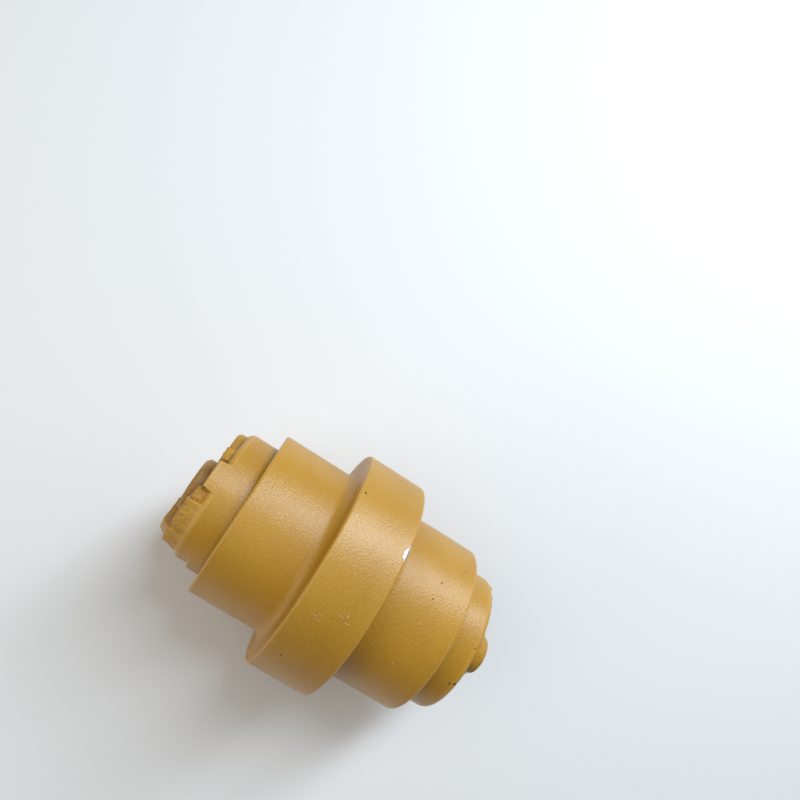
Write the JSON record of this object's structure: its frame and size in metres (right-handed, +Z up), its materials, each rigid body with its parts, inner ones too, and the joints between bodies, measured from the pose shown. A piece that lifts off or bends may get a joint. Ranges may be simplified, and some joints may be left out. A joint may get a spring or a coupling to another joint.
{
  "type": "track roller",
  "caption": "Centre-flange bottom track roller of a compact excavator: flanged shell on a sealed shaft, with a bolt-on collar at each end.",
  "frame": {"origin": "centre of the roller, on the shaft's axis and midway between the two end collars", "axes": "+Y along the shaft towards the right end, +Z up towards the track frame, +X to the side"},
  "size_m": [0.165, 0.2492, 0.165],
  "materials": {
    "shell_paint": "satin ochre-yellow enamel on forged steel",
    "collar_paint": "satin ochre-yellow enamel on cast steel, rough on the end relief",
    "shaft_steel": "ground steel with painted ends",
    "seal_steel": "lapped",
    "dark_steel": "blackened",
    "bush_metal": "turned bronze",
    "rubber": "matt black"
  },
  "bodies": {
    "spindle": {"shaft": "shaft_steel", "shaft_cord_right": "rubber", "shaft_cord_left": "rubber", "retaining_ring_right": "dark_steel", "retaining_ring_left": "dark_steel", "oil_plug": "dark_steel", "oil_plug_cord": "rubber"},
    "roller": {"roller_shell": "shell_paint", "bush_right": "bush_metal", "bush_left": "bush_metal", "seal_ring_turning_right": "seal_steel", "seal_ring_turning_left": "seal_steel", "seal_rubber_turning_right": "rubber", "seal_rubber_turning_left": "rubber"},
    "collar_right": {"end_collar_right": "collar_paint", "seal_ring_still_right": "seal_steel", "seal_rubber_still_right": "rubber"},
    "collar_left": {"end_collar_left": "collar_paint", "seal_ring_still_left": "seal_steel", "seal_rubber_still_left": "rubber"}
  },
  "joints": [
    {"name": "roller_spin", "type": "hinge", "parent": "spindle", "child": "roller", "pos_m": [0, 0, 0], "axis": [0, 1, 0], "continuous": true},
    {"name": "collar_right_turn", "type": "hinge", "parent": "spindle", "child": "collar_right", "pos_m": [0, 0.1, 0], "axis": [0, 1, 0], "continuous": true},
    {"name": "collar_left_turn", "type": "hinge", "parent": "spindle", "child": "collar_left", "pos_m": [0, -0.1, 0], "axis": [0, 1, 0], "continuous": true}
  ]
}
